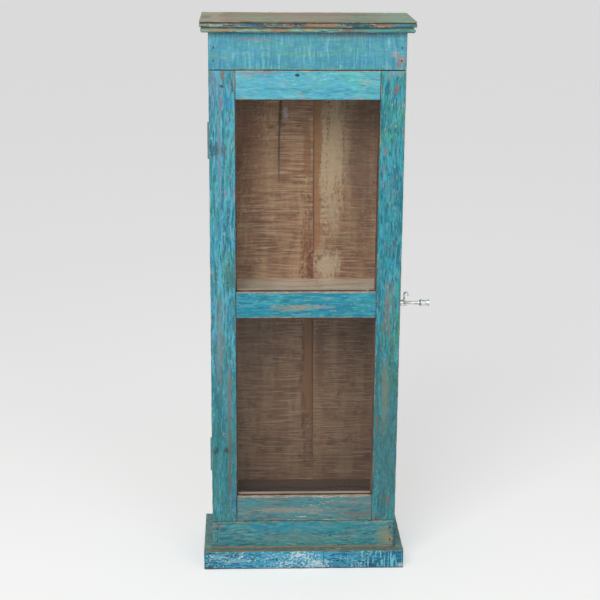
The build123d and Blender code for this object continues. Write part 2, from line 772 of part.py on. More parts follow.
def build():
    """Every sub-part of the cabinet, by name."""
    parts = {}

    side = side_panel()
    parts["side_panel_right"] = side
    parts["side_panel_left"] = mirrored(side)
    post = front_post()
    pocket = block(
        (half_width - latch_pocket_depth, half_width),
        (latch_axis_y - latch_pocket_width / 2, latch_axis_y + latch_pocket_width / 2),
        (latch_height - latch_pocket_width / 2, latch_height + latch_pocket_width / 2),
    )
    parts["front_post_right"] = post - pocket
    parts["front_post_left"] = hinge_recesses(mirrored(post), on_door=False)
    parts["head_rail"] = front_rail(head_rail_z)
    parts["sill_rail"] = front_rail(sill_rail_z)
    parts["shelf"] = housed_board(shelf_top, shelf_thickness)
    parts["cabinet_floor"] = housed_board(floor_top, floor_thickness)
    parts.update(back_pieces())

    parts.update(top_boards())
    parts.update(cornice_beads())
    parts.update(base_bands())
    parts["frieze_board"] = front_board((frieze_bottom, underside_of_top))
    parts["apron_board"] = front_board((0, apron_height))

    left_stile = door_stile(-half_width, stile_left_inner, rear_left)
    parts["door_stile_left"] = hinge_recesses(left_stile, on_door=True)
    parts["door_stile_right"] = door_stile(half_width, stile_right_inner, rear_right) - keeper()
    for name in door_rails:
        parts[name] = door_rail(name)
    for pane, z in panes.items():
        parts[f"glass_{pane}"] = glass(z)
        for side_name, strip in glazing_beads(z).items():
            parts[f"glazing_bead_{pane}_{side_name}"] = strip

    for place, bottom in hinge_bottoms.items():
        parts[f"hinge_{place}_frame_leaf"] = hinge_leaf(bottom, on_door=False)
        parts[f"hinge_{place}_door_leaf"] = hinge_leaf(bottom, on_door=True)
        parts[f"hinge_{place}_pin"] = hinge_pin(bottom)
    parts["latch_plate"] = latch_plate()
    parts["latch_lever"] = latch_lever()
    parts["latch_hook"] = latch_hook()
    parts["latch_keeper"] = keeper()

    leaves = [f"hinge_{place}_frame_leaf" for place in hinge_bottoms]
    fasten(parts, "hinge_screws_frame", hinge_screws(on_door=False), leaves + ["front_post_left"])
    leaves = [f"hinge_{place}_door_leaf" for place in hinge_bottoms]
    fasten(parts, "hinge_screws_door", hinge_screws(on_door=True), leaves + ["door_stile_left"])
    fasten(parts, "latch_screws", latch_screws(), ["latch_plate", "front_post_right"])
    fasten(parts, "door_pegs", door_pegs(), [*door_rails, "door_stile_left", "door_stile_right"])
    for group, (nails, boards) in nail_groups().items():
        fasten(parts, group, nails, boards)
    return parts


os.makedirs("parts", exist_ok=True)
for name, solid in build().items():
    export_step(solid, f"parts/{name}.step")
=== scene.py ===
import json
from math import radians

import bpy
from mathutils import Matrix, Vector


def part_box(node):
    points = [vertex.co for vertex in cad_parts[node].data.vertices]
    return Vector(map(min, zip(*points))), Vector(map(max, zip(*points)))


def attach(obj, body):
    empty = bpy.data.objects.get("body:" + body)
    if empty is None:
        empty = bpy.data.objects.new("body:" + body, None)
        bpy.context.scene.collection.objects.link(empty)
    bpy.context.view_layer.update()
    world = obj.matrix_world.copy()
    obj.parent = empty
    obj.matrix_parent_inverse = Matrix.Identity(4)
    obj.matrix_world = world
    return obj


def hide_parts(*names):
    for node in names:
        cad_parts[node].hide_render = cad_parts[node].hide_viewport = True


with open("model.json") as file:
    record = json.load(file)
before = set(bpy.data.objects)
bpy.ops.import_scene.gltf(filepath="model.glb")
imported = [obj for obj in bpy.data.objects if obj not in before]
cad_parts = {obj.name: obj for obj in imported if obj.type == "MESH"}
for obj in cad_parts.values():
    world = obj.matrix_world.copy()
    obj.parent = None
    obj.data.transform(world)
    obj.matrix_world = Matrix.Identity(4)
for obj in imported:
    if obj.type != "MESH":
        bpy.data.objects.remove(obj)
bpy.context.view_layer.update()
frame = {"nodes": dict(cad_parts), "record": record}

# Carcass posts and rails: two softwood posts and two rails, mortised and tenoned, that the
# rest is built on. Painted outside with the same old turquoise, their arrises rubbed by use.


def linear(colour):
    """An sRGB hex colour as the linear values that shaders take."""
    channels = [int(colour[i : i + 2], 16) / 255 for i in (1, 3, 5)]
    return [c / 12.92 if c <= 0.04045 else ((c + 0.055) / 1.055) ** 2.4 for c in channels] + [1.0]


def add(tree, kind, inputs, **settings):
    """Adds a shader node with its settings, and gives each input a value or a link."""
    node = tree.nodes.new("ShaderNode" + kind)
    for name, value in settings.items():
        setattr(node, name, value)
    for socket, value in inputs.items():
        if isinstance(value, bpy.types.NodeSocket):
            tree.links.new(value, node.inputs[socket])
        else:
            node.inputs[socket].default_value = value
    return node


def new_material(name):
    """A material with an empty Principled shader, and its tree and shader."""
    material = bpy.data.materials.new(name)
    material.use_nodes = True
    return material, material.node_tree, material.node_tree.nodes["Principled BSDF"]


def dress(material, *pieces):
    """Gives pieces, or CAD nodes by name, a material."""
    for piece in pieces:
        mesh = (frame["nodes"][piece] if isinstance(piece, str) else piece).data
        mesh.materials.clear()
        mesh.materials.append(material)


behaviour = frame["record"]["behaviour"]
bodies = {node: body for body, nodes in behaviour["bodies"].items() for node in nodes}


def copy_of(node, prefix):
    """A piece that starts as a copy of a CAD node, its triangles merged into whole faces."""
    piece = bpy.data.objects.new(prefix + node, frame["nodes"][node].data.copy())
    bpy.context.scene.collection.objects.link(piece)
    bpy.ops.object.select_all(action="DESELECT")
    bpy.context.view_layer.objects.active = piece
    piece.select_set(True)
    bpy.ops.object.mode_set(mode="EDIT")
    bpy.ops.mesh.select_all(action="SELECT")
    bpy.ops.mesh.remove_doubles(threshold=0.00001)
    bpy.ops.mesh.dissolve_limited(angle_limit=radians(1))
    bpy.ops.mesh.select_all(action="DESELECT")
    bpy.ops.object.mode_set(mode="OBJECT")
    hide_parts(node)
    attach(piece, bodies[node])
    return piece


# Hollows 18 mm long along the rubbed arrises, and faces that wander over 250 mm
rubbing = bpy.data.textures.new("rubbing", "CLOUDS")
rubbing.noise_scale = 0.018
wander = bpy.data.textures.new("wander", "CLOUDS")
wander.noise_scale = 0.25


def aged_board(node, grain, material, rounding=0.0007, wear=0.0016):
    """A board as age leaves it: its long edges rounded over, its arrises worn in and its faces
    no longer quite flat. grain is the axis that it runs along, rounding the radius of its edges
    and wear how deep its arrises are worn, in metres."""
    shortest_rounded, ring_spacing, arris_width, face_warp = 0.012, 0.009, 0.0022, 0.0007
    piece = copy_of(node, "aged_")
    points = piece.data.vertices
    faces_of = {}
    for face in piece.data.polygons:
        for key in face.edge_keys:
            faces_of.setdefault(key, []).append(face.normal)
    for edge in piece.data.edges:
        sides = faces_of[edge.key]
        first, last = [points[i].co for i in edge.vertices]
        turns = len(sides) == 2 and sides[0].angle(sides[1], 0.0) > radians(30)
        edge.select = turns and (first - last).length > shortest_rounded
    bpy.ops.object.mode_set(mode="EDIT")
    bpy.ops.mesh.select_mode(type="EDGE")
    bpy.ops.mesh.bevel(offset=rounding, segments=3, affect="EDGES", clamp_overlap=True)
    axis = "XYZ".index(grain)
    low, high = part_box(node)
    rings = int((high[axis] - low[axis]) / ring_spacing)
    for i in range(1, rings):
        middle = low.copy()
        middle[axis] += (high[axis] - low[axis]) * i / rings
        bpy.ops.mesh.select_all(action="SELECT")
        bpy.ops.mesh.bisect(plane_co=middle, plane_no=[float(i == axis) for i in range(3)])
    bpy.ops.object.mode_set(mode="OBJECT")

    # A point is on an arris where it is near the board's box in two of the three directions
    group = piece.vertex_groups.new(name="arris")
    for point in piece.data.vertices:
        inside = sorted(min(point.co[i] - low[i], high[i] - point.co[i]) for i in range(3))
        if inside[1] < arris_width:
            group.add([point.index], 1.0, "REPLACE")
    rub = piece.modifiers.new("rubbed_arris", "DISPLACE")
    rub.texture = rubbing
    rub.texture_coords = "LOCAL"
    rub.vertex_group = "arris"
    rub.mid_level = 0.3
    rub.strength = -wear
    warp = piece.modifiers.new("wandering_face", "DISPLACE")
    warp.texture = wander
    warp.texture_coords = "LOCAL"
    warp.strength = face_warp
    bpy.ops.object.modifier_apply(modifier=rub.name)
    bpy.ops.object.modifier_apply(modifier=warp.name)
    bpy.ops.object.shade_smooth_by_angle(angle=radians(36))
    dress(material, piece)
    return piece


def patterns(tree, grain, sizes, seed):
    """Where a point is, and noise for each named size in millimetres across and along a
    board's grain. The grain wanders by about 3 mm to each side over 120 mm."""
    wander_length, wander_range = 0.12, 0.012
    place = add(tree, "TexCoord", {}).outputs["Object"]
    slow = {"Vector": place, "Scale": 1 / wander_length, "Detail": 0.0}
    bend = add(tree, "TexNoise", slow).outputs["Color"]
    wandered = {0: bend, 1: (wander_range,) * 3, 2: place}
    grown = add(tree, "VectorMath", wandered, operation="MULTIPLY_ADD").outputs[0]
    axis = "XYZ".index(grain)
    # Turned off the board's own axes, or the cells of the noise show as upright lines
    turn = (0.5, 0.7, 0.6)
    noise = {}
    for number, (name, (across, along)) in enumerate(sizes.items()):
        scale = [1000 / across] * 3
        scale[axis] = 1000 / along
        start = Vector((3.7, 6.1, 8.3)) * (seed + number)
        at = {"Vector": grown, "Location": start, "Rotation": turn, "Scale": scale}
        spot = add(tree, "Mapping", at).outputs[0]
        rough = {"Vector": spot, "Scale": 1.0, "Detail": 3.0, "Roughness": 0.6, "Lacunarity": 2.37}
        noise[name] = add(tree, "TexNoise", rough).outputs["Color" if name == "mottle" else 0]
    return place, noise


def layered(tree, place, noise, coats, stains=()):
    """A ground colour, other colours where a pattern is high, ragged stains, and over it all a
    fine mottling of hue, as dirt and worn grain give.

    A coat is its pattern, its colour, and where on the pattern it starts and is full. A stain
    is its middle x and z, half width and half height in millimetres, its colour and strength.
    Its rim is moved in and out by the flakes and streaks."""
    flake_share, streak_share, rim, mottling = 2.2, 1.8, (2.5, 3.2), 0.4
    colour = linear(coats[0])
    for pattern, tint, start, full in coats[1:]:
        rise = {0: noise[pattern], 1: start, 2: full}
        mask = add(tree, "MapRange", rise, interpolation_type="SMOOTHSTEP").outputs[0]
        laid = {0: mask, 6: colour, 7: linear(tint)}
        colour = add(tree, "Mix", laid, data_type="RGBA").outputs[2]
    for x, z, half_width, half_height, tint, strength in stains:
        size = (1000 / half_width, 0.0, 1000 / half_height)
        move = (-x / half_width, 0.0, -z / half_height)
        spot = add(tree, "Mapping", {"Vector": place, "Location": move, "Scale": size}).outputs[0]
        reach = add(tree, "VectorMath", {0: spot}, operation="LENGTH").outputs["Value"]
        for pattern, share in (("flake", flake_share), ("streak", streak_share)):
            ragged = {0: noise[pattern], 1: share, 2: reach}
            reach = add(tree, "Math", ragged, operation="MULTIPLY_ADD").outputs[0]
        fading = {0: reach, 1: rim[0], 2: rim[1], 3: strength, 4: 0.0}
        mask = add(tree, "MapRange", fading).outputs[0]
        laid = {0: mask, 6: colour, 7: linear(tint)}
        colour = add(tree, "Mix", laid, data_type="RGBA").outputs[2]
    mottled = {0: mottling, 6: colour, 7: noise["mottle"]}
    return add(tree, "Mix", mottled, data_type="RGBA", blend_type="OVERLAY").outputs[2]


def grimed(tree, place, colour, lines):
    """Dirt or wear in lines, each an axis, its low and high in millimetres, colour and strength."""
    soft_edge = 0.0002
    split = add(tree, "SeparateXYZ", {0: place})
    for axis, low, high, tint, strength in lines:
        middle = (low + high) / 2000
        half = (high - low) / 2000
        along = split.outputs["XYZ".index(axis)]
        offset = add(tree, "Math", {0: along, 1: middle}, operation="SUBTRACT").outputs[0]
        offset = add(tree, "Math", {0: offset}, operation="ABSOLUTE").outputs[0]
        fading = {0: offset, 1: half - soft_edge, 2: half + soft_edge, 3: strength, 4: 0.0}
        mask = add(tree, "MapRange", fading).outputs[0]
        laid = {0: mask, 6: colour, 7: linear(tint)}
        colour = add(tree, "Mix", laid, data_type="RGBA").outputs[2]
    return colour


def edge_distance(tree, place, lowest, highest):
    """How far a point on a board's skin is from the nearest arris of the board's box."""
    split = add(tree, "SeparateXYZ", {0: place})
    inside = []
    for axis in range(3):
        middle = (lowest[axis] + highest[axis]) / 2
        half = (highest[axis] - lowest[axis]) / 2
        offset = add(tree, "Math", {0: split.outputs[axis], 1: middle}, operation="SUBTRACT")
        reach = add(tree, "Math", {0: offset.outputs[0]}, operation="ABSOLUTE")
        depth = add(tree, "Math", {0: half, 1: reach.outputs[0]}, operation="SUBTRACT")
        inside.append(depth.outputs[0])
    x, y, z = inside
    lesser = add(tree, "Math", {0: x, 1: y}, operation="MINIMUM").outputs[0]
    greater = add(tree, "Math", {0: x, 1: y}, operation="MAXIMUM").outputs[0]
    third = add(tree, "Math", {0: greater, 1: z}, operation="MINIMUM").outputs[0]
    return add(tree, "Math", {0: lesser, 1: third}, operation="MAXIMUM").outputs[0]


# Sizes in millimetres across and along the grain. The finest are 3 to 5 mm, coarser than real
# brush marks and flakes, because finer ones would not show.
paint_sizes = {
    "area": (50, 110),
    "band": (14, 220),
    "streak": (6, 60),
    "brush": (4, 26),
    "fibre": (3, 16),
    "rub": (5, 30),
    "flake": (4, 5),
    "planing": (70, 5),
    "combed": (34, 4),
    "drift": (40, 260),
    "sweep": (26, 150),
    "mottle": (4, 11),
}
pale_arris = "#A8AE9C"
# Bare, handled softwood gone red-brown, because the inside of the cabinet was never painted
inner_coats = [
    "#8C6852",
    ("area", "#7A5644", 0.42, 0.62),
    ("band", "#9E7C64", 0.45, 0.65),
    ("streak", "#6C4A3A", 0.5, 0.68),
    ("fibre", "#A88A70", 0.54, 0.76),
]


def worn_paint(
    name, node, grain, coats, seed, wear=0.5, wood=("#5F4A3C", "#A8927A"), bare_top=0.1,
    stains=(), lines=(), edge=None, more_patterns=None, inside=None,
):
    """Old turquoise oil paint on reclaimed timber: thin brush coats of several blues, streaky
    along the grain, rubbed to an older pale coat and to bare wood on the arrises and upper faces.

    wear is the share rubbed through, wood its dark and pale tone, and bare_top what upward faces
    lose more. edge is a height and the coats and stains below it, more_patterns a function that
    adds a board's own patterns, and inside the two places in x between which the paint stops and
    the bare inside begins, in metres."""
    material, tree, shader = new_material(name)
    place, noise = patterns(tree, grain, paint_sizes, seed)
    split = add(tree, "SeparateXYZ", {0: place})
    if more_patterns:
        more_patterns(tree, split, noise)
    paint = layered(tree, place, noise, coats, stains)
    if edge:
        height, edge_coats, edge_stains = edge
        other = layered(tree, place, noise, edge_coats, edge_stains)
        soft_edge = 0.0006
        below = {0: split.outputs[2], 1: height - soft_edge, 2: height, 3: 1.0, 4: 0.0}
        mask = add(tree, "MapRange", below).outputs[0]
        paint = add(tree, "Mix", {0: mask, 6: paint, 7: other}, data_type="RGBA").outputs[2]

    dark_wood, pale_wood = [linear(c) for c in wood]
    to_pale = add(tree, "MapRange", {0: noise["fibre"], 1: 0.4, 2: 0.6}).outputs[0]
    bare = add(tree, "Mix", {0: to_pale, 6: dark_wood, 7: pale_wood}, data_type="RGBA").outputs[2]
    arris_width = 0.003
    distance = edge_distance(tree, place, *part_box(node))
    arris = add(tree, "MapRange", {0: distance, 1: 0.0, 2: arris_width, 3: 0.3, 4: 0.0}).outputs[0]
    facing = add(tree, "TexCoord", {}).outputs["Normal"]
    upward = add(tree, "SeparateXYZ", {0: facing}).outputs[2]
    upward = add(tree, "MapRange", {0: upward, 1: 0.5, 2: 0.9, 3: 0.0, 4: bare_top}).outputs[0]
    rubbed = noise["rub"]
    for pattern, share in (("flake", 0.4), ("area", 0.5)):
        weighted = {0: noise[pattern], 1: share, 2: rubbed}
        rubbed = add(tree, "Math", weighted, operation="MULTIPLY_ADD").outputs[0]
    for more in (arris, upward):
        rubbed = add(tree, "Math", {0: rubbed, 1: more}, operation="ADD").outputs[0]
    # The sum is 0.95 on average. The top coat goes just below the limit, all paint just above.
    limit = 1.34 - 0.4 * wear
    through_top = add(tree, "MapRange", {0: rubbed, 1: limit - 0.06, 2: limit}).outputs[0]
    through_all = add(tree, "MapRange", {0: rubbed, 1: limit + 0.03, 2: limit + 0.09}).outputs[0]
    older = {0: through_top, 6: paint, 7: linear(pale_arris)}
    colour = add(tree, "Mix", older, data_type="RGBA").outputs[2]
    colour = add(tree, "Mix", {0: through_all, 6: colour, 7: bare}, data_type="RGBA").outputs[2]
    if lines:
        colour = grimed(tree, place, colour, lines)
    if inside:
        timber = layered(tree, place, noise, inner_coats)
        mask = add(tree, "MapRange", {0: split.outputs[0], 1: inside[0], 2: inside[1]}).outputs[0]
        colour = add(tree, "Mix", {0: mask, 6: colour, 7: timber}, data_type="RGBA").outputs[2]

    # Brush marks and flakes stand up, and each coat that is gone leaves a hollow
    height = noise["fibre"]
    for relief, share in ((through_top, -0.5), (through_all, -0.5), (noise["flake"], 0.5)):
        raised = {0: relief, 1: share, 2: height}
        height = add(tree, "Math", raised, operation="MULTIPLY_ADD").outputs[0]
    bump = add(tree, "Bump", {"Strength": 0.8, "Distance": 0.0006, "Height": height}).outputs[0]
    gloss = add(tree, "MapRange", {0: through_top, 3: 0.55, 4: 0.8}).outputs[0]
    tree.links.new(colour, shader.inputs["Base Color"])
    tree.links.new(gloss, shader.inputs["Roughness"])
    tree.links.new(bump, shader.inputs["Normal"])
    shader.inputs["Specular IOR Level"].default_value = 0.35
    return material


# Blues and greens of the stiles, from the ground up: deep, light, sea green, grey where the
# paint is thin, and brown where it is nearly gone
stile_coats = [
    "#3C98B0",
    ("area", "#48A298", 0.42, 0.6),
    ("band", "#287C92", 0.45, 0.6),
    ("streak", "#58B2CA", 0.46, 0.62),
    ("brush", "#28707F", 0.48, 0.66),
    ("rub", "#8088A0", 0.55, 0.7),
    ("fibre", "#74BCCA", 0.54, 0.7),
    ("flake", "#98907E", 0.6, 0.74),
]


def inner_face(node):
    """Where in x a board at one side of the cabinet turns from paint to bare wood, just under
    its inner face."""
    painted, bare = 0.0016, 0.0008
    low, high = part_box(node)
    return (high.x - painted, high.x - bare) if high.x < 0 else (low.x + painted, low.x + bare)


for number, name in enumerate(("front_post_left", "front_post_right", "head_rail", "sill_rail")):
    grain = "X" if name.endswith("rail") else "Z"
    paint = worn_paint(
        "worn_turquoise_" + name, name, grain, stile_coats, 3.1 + number, 0.75,
        ("#33271D", "#5E4935"), inside=None if name.endswith("rail") else inner_face(name),
    )
    aged_board(name, grain, paint)

# Side panels: wide softwood planks tongued into the posts, which hold the shelf and the floor
# in housings. Painted outside with the posts and left bare inside.

for number, name in enumerate(("side_panel_left", "side_panel_right")):
    paint = worn_paint(
        "worn_turquoise_" + name, name, "Z", stile_coats, 11.0 + number, inside=inner_face(name)
    )
    aged_board(name, "Z", paint)

# Back: two wide sawn planks below a hanging rail, bare and brown, with saw marks straight
# across them, a drying crack, and smooth strips of bark edge left beside their seam.

# Sizes in millimetres across and along the grain; the saw left a line every 3 to 4 mm
timber_sizes = {
    "area": (80, 120),
    "band": (26, 420),
    "streak": (9, 150),
    "blotch": (26, 34),
    "kerf": (60, 2.6),
    "ridge": (90, 5.0),
    "flake": (5, 7),
    "mottle": (6, 4),
}
# The side towards the wall: the same timber, its saw marks dulled
weathered_coats = [
    "#A27A60",
    ("area", "#8E6650", 0.4, 0.66),
    ("band", "#B29070", 0.42, 0.7),
    ("ridge", "#8E6650", 0.46, 0.84),
    ("blotch", "#8A644E", 0.5, 0.76),
]


def sawn_timber(name, grain, coats, seed, stains=(), lines=(), outside=None, painted_top_sheen=None):
    """Bare timber straight from a frame saw: brown, matt and scored across its width.

    outside is the depth past which a board faces the wall, with neither stains nor lines, and
    the top colour, if given, is a painted reflection laid on upward faces."""
    material, tree, shader = new_material(name)
    place, noise = patterns(tree, grain, timber_sizes, seed)
    colour = layered(tree, place, noise, coats, stains)
    # A pale painted reflection on upward faces
    if painted_top_sheen:
        facing = add(tree, "TexCoord", {}).outputs["Normal"]
        upward = add(tree, "SeparateXYZ", {0: facing}).outputs[2]
        mask = add(tree, "MapRange", {0: upward, 1: 0.5, 2: 0.9}).outputs[0]
        sheen_laid = {0: mask, 6: colour, 7: linear(painted_top_sheen)}
        colour = add(tree, "Mix", sheen_laid, data_type="RGBA").outputs[2]
    if lines:
        colour = grimed(tree, place, colour, lines)
    if outside:
        depth = add(tree, "SeparateXYZ", {0: place}).outputs[1]
        mask = add(tree, "MapRange", {0: depth, 1: outside - 0.001, 2: outside}).outputs[0]
        plain = layered(tree, place, noise, weathered_coats)
        colour = add(tree, "Mix", {0: mask, 6: colour, 7: plain}, data_type="RGBA").outputs[2]
    sawn = {0: noise["ridge"], 1: 0.5, 2: noise["kerf"]}
    height = add(tree, "Math", sawn, operation="MULTIPLY_ADD").outputs[0]
    bump = add(tree, "Bump", {"Strength": 0.7, "Distance": 0.0008, "Height": height}).outputs[0]
    tree.links.new(colour, shader.inputs["Base Color"])
    tree.links.new(bump, shader.inputs["Normal"])
    shader.inputs["Roughness"].default_value = 0.85
    shader.inputs["Specular IOR Level"].default_value = 0.3
    return material


plank_coats = [
    "#B4866A",
    ("area", "#A0705A", 0.4, 0.66),
    ("band", "#C49E7E", 0.42, 0.68),
    ("blotch", "#86604E", 0.46, 0.7),
    ("ridge", "#8A5E48", 0.42, 0.78),
    ("kerf", "#D6B698", 0.46, 0.74),
]
left_stains = [
    (-132, 940, 46, 160, "#6E4234", 0.65),
    (-80, 860, 40, 60, "#C09C7C", 0.35),
    (-40, 986, 5, 14, "#C8BCCC", 0.85),
    (-54, 954, 4, 9, "#C4B8C0", 0.7),
    (8, 900, 9, 70, "#96603F", 0.6),
    (6, 690, 12, 44, "#9A6440", 0.6),
    (-130, 640, 30, 10, "#84583F", 0.6),
    (-50, 1000, 2.8, 50, "#46322A", 0.75),
    (-54, 915, 2.2, 80, "#52382E", 0.65),
    (14, 470, 17, 250, "#7C4232", 0.9),
    (-110, 470, 60, 130, "#6E5246", 0.4),
]
right_stains = [
    (64, 900, 32, 130, "#E0C2A4", 0.8),
    (66, 770, 16, 60, "#D2B698", 0.6),
    (52, 648, 34, 32, "#DCC6AC", 0.8),
    (36, 664, 6, 6, "#94705A", 0.9),
    (130, 880, 34, 160, "#8C6E62", 0.55),
    (40, 450, 12, 90, "#8A5C48", 0.6),
]
# The bark edge lies deeper than the sawn face, and below the shelf the planks are darkened with
# painted shade
bark_edge_and_shade_lines = [("Y", 172.0, 190.0, "#B07C56", 0.75), ("Z", -10, 598, "#4E3A32", 0.42)]
weathered_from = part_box("back_plank_left")[1].y - 0.002
for side, seed, stains in (("left", 2.0, left_stains), ("right", 4.0, right_stains)):
    plank = sawn_timber(
        f"sawn_brown_{side}_plank", "Z", plank_coats, seed, stains, bark_edge_and_shade_lines, weathered_from
    )
    aged_board("back_plank_" + side, "Z", plank)
aged_board("hanging_rail", "X", sawn_timber("sawn_brown_hanging_rail", "X", weathered_coats, 6.0))

# Shelf and floor of the cabinet: bare boards let into the sides. The shelf is pale with dust and
# with painted light from above, the floor is dark and stained.

# Pale with dust, and paler still from painted light falling on the shelf from above
shelf_dust_and_light_coats = [
    "#E6D4C4",
    ("band", "#CDB7A2", 0.46, 0.64),
    ("area", "#EADACA", 0.46, 0.66),
    ("streak", "#B8A08A", 0.54, 0.7),
]
shelf_stains = [(34, 620, 12, 4, "#5B4B3E", 0.8)]
aged_board("shelf", "X", sawn_timber("dusty_shelf_board", "X", shelf_dust_and_light_coats, 8.0, shelf_stains))
floor_coats = [
    "#5E473B",
    ("band", "#4A382F", 0.5, 0.62),
    ("area", "#6E5648", 0.54, 0.66),
    ("streak", "#3B2C26", 0.58, 0.68),
    ("flake", "#8E8078", 0.68, 0.74),
]
aged_board("cabinet_floor", "X", sawn_timber("stained_floor_board", "X", floor_coats, 9.0))

# Top: two boards, their paint worn to a greenish tan above, chipped dark and orange along the
# edge, with a quirk scratched under the arris and darkened with painted shade.

top_coats = {
    "top_board_front": [
        "#828C72",
        ("drift", "#A69C78", 0.46, 0.56),
        ("sweep", "#64A688", 0.5, 0.58),
        ("area", "#B07E70", 0.53, 0.64),
        ("band", "#BCB492", 0.55, 0.64),
        ("brush", "#5E644A", 0.54, 0.66),
    ],
    "top_board_back": [
        "#968C6C",
        ("drift", "#7A7252", 0.46, 0.56),
        ("sweep", "#86A284", 0.52, 0.62),
        ("brush", "#B4A688", 0.53, 0.66),
    ],
}
chipped_edge = [
    "#4C6C70",
    ("area", "#2A5664", 0.48, 0.54),
    ("streak", "#7CB8BC", 0.54, 0.62),
    ("rub", "#A8623E", 0.55, 0.61),
    ("brush", "#1F3A4A", 0.57, 0.63),
    ("flake", "#C4B08C", 0.6, 0.66),
]
# Painted shade in the quirk, and a dark olive line along the front arris of the top
shaded_quirk_and_arris_lines = [("Z", 1195.6, 1197.6, "#2E2C22", 0.85), ("Y", -16.3, -14.8, "#4C5438", 0.7)]
top_stains = [
    (190, 0, 60, 4000, "#92BDA8", 0.5),
    (-200, 0, 30, 4000, "#C2BAA0", 0.5),
    (0, 0, 80, 4000, "#B48E80", 0.45),
]
edge_stains = [
    (30, 1192, 40, 4, "#A87C5A", 0.85),
    (158, 1193, 22, 3, "#A06C4C", 0.8),
    (-114, 1191, 18, 4, "#346A90", 0.8),
    (-174, 1195, 44, 2, "#96584A", 0.7),
    (190, 1194, 24, 3, "#3F8CA4", 0.8),
]
edge_top = 1.1988
for number, (name, coats) in enumerate(top_coats.items()):
    paint = worn_paint(
        "worn_top_" + name, name, "X", coats, 21.0 + number, 0.3, ("#8A6F56", "#B29A7C"),
        stains=top_stains, lines=shaded_quirk_and_arris_lines, edge=(edge_top, chipped_edge, edge_stains),
    )
    aged_board(name, "X", paint)

# Cornice bead: a planed softwood moulding, mitred round the front corners under the top. Its
# paint is chipped to brown in places, and a painted shadow darkens it along the lower edge.

bead_coats = [
    "#5E8A80",
    ("area", "#7FB0A4", 0.48, 0.56),
    ("streak", "#2F6A66", 0.52, 0.6),
    ("rub", "#B98F5C", 0.55, 0.62),
    ("brush", "#8CCBC6", 0.58, 0.66),
]
# A painted shadow along the lower edge of the bead
bead_shadow_lines = [("Z", 1176.6, 1177.9, "#24444A", 0.8)]
bead_stains = [
    (-170, 1184, 50, 6, "#9C7C50", 0.7),
    (-70, 1184, 40, 4, "#A8744C", 0.6),
    (20, 1186, 50, 4, "#8A9070", 0.5),
    (90, 1182, 36, 7, "#7E5844", 0.75),
    (150, 1184, 70, 9, "#4FA09C", 0.6),
]
for number, name in enumerate(("cornice_bead_front", "cornice_bead_left", "cornice_bead_right")):
    grain = "X" if name.endswith("front") else "Y"
    paint = worn_paint(
        "worn_bead_" + name, name, grain, bead_coats, 31.0 + number, 0.4,
        stains=bead_stains, lines=bead_shadow_lines,
    )
    aged_board(name, grain, paint, rounding=0.0004)

# Frieze: a board over the front of the carcass, paler than the door, with planing marks that
# stand across its grain and a rubbed lower arris.

frieze_coats = [
    "#4496AE",
    ("area", "#56A6BE", 0.42, 0.64),
    ("band", "#5CA69C", 0.46, 0.66),
    ("planing", "#3A8CA4", 0.45, 0.72),
    ("combed", "#7CC2D4", 0.5, 0.74),
    ("streak", "#8490A2", 0.55, 0.86),
    ("brush", "#448EA0", 0.52, 0.76),
    ("flake", "#86989A", 0.62, 0.74),
]
frieze_stains = [
    (178, 1134, 8, 7, "#B0A09E", 0.7),
    (190, 1121, 10, 10, "#A4867C", 0.7),
    (184, 1112, 8, 5, "#946C62", 0.6),
    (-110, 1163, 40, 4, "#93808C", 0.5),
    (84, 1170, 90, 3, "#86707E", 0.6),
]
paint = worn_paint(
    "worn_frieze_paint", "frieze_board", "X", frieze_coats, 41.0, 0.3, stains=frieze_stains
)
aged_board("frieze_board", "X", paint)

# Door: two stiles and three rails with long and short shoulders, rebated for the glass. Each
# board has its own shade of the turquoise and its own wear.

left_stile_stains = [
    (-170, 280, 60, 250, "#2E7472", 0.55),
    (-190, 1075, 14, 30, "#7A8FA4", 0.5),
    (-186, 936, 18, 16, "#335F72", 0.8),
    (-163, 1036, 10, 18, "#2C90B4", 0.6),
    (-172, 1092, 5, 14, "#84695C", 0.8),
    (-176, 1068, 5, 3.5, "#35343A", 1.0),
    (-176, 1040, 3, 30, "#8A7684", 0.6),
    (-155, 668, 14, 34, "#42706E", 0.8),
    (-183, 520, 9, 110, "#7E8E8E", 0.6),
    (-161, 560, 7, 60, "#2888A8", 0.5),
    (-163, 400, 5, 80, "#8A8078", 0.65),
    (-192, 274, 7, 7, "#2F4A5A", 0.75),
    (-170, 275, 6, 7, "#3A3F48", 0.8),
    (-163, 250, 3, 150, "#75645A", 0.75),
    (-180, 930, 4, 110, "#8A8FA4", 0.5),
]
left_stile = worn_paint(
    "worn_left_stile_paint", "door_stile_left", "Z", stile_coats, 51.0, 0.25,
    stains=left_stile_stains,
)
aged_board("door_stile_left", "Z", left_stile)
right_stile_coats = [
    "#2A92A6",
    ("area", "#3A9886", 0.42, 0.6),
    ("band", "#1E7484", 0.45, 0.6),
    ("streak", "#42A6B6", 0.46, 0.62),
    ("brush", "#1E6674", 0.48, 0.66),
    ("rub", "#84848C", 0.57, 0.7),
    ("fibre", "#64B0BA", 0.55, 0.7),
    ("flake", "#9A8676", 0.62, 0.74),
]
right_stile_stains = [
    (180, 300, 60, 250, "#446C68", 0.65),
    (182, 1063, 6, 8, "#8A6258", 0.8),
    (180, 1096, 20, 8, "#8AA2A8", 0.6),
    (167, 1088, 3, 9, "#A89A70", 0.6),
    (162, 936, 6, 8, "#7A8088", 0.7),
    (160, 896, 5, 10, "#8E8286", 0.6),
    (160, 116, 5, 8, "#7A4E38", 0.7),
    (176, 594, 9, 60, "#86847C", 0.6),
    (173, 400, 8, 90, "#848674", 0.6),
    (157, 336, 3, 22, "#6E6A48", 0.7),
    (186, 156, 5, 14, "#8E6A5C", 0.6),
]
right_stile = worn_paint(
    "worn_right_stile_paint", "door_stile_right", "Z", right_stile_coats, 52.0, 0.35,
    ("#74503A", "#B08A60"), stains=right_stile_stains,
)
aged_board("door_stile_right", "Z", right_stile)

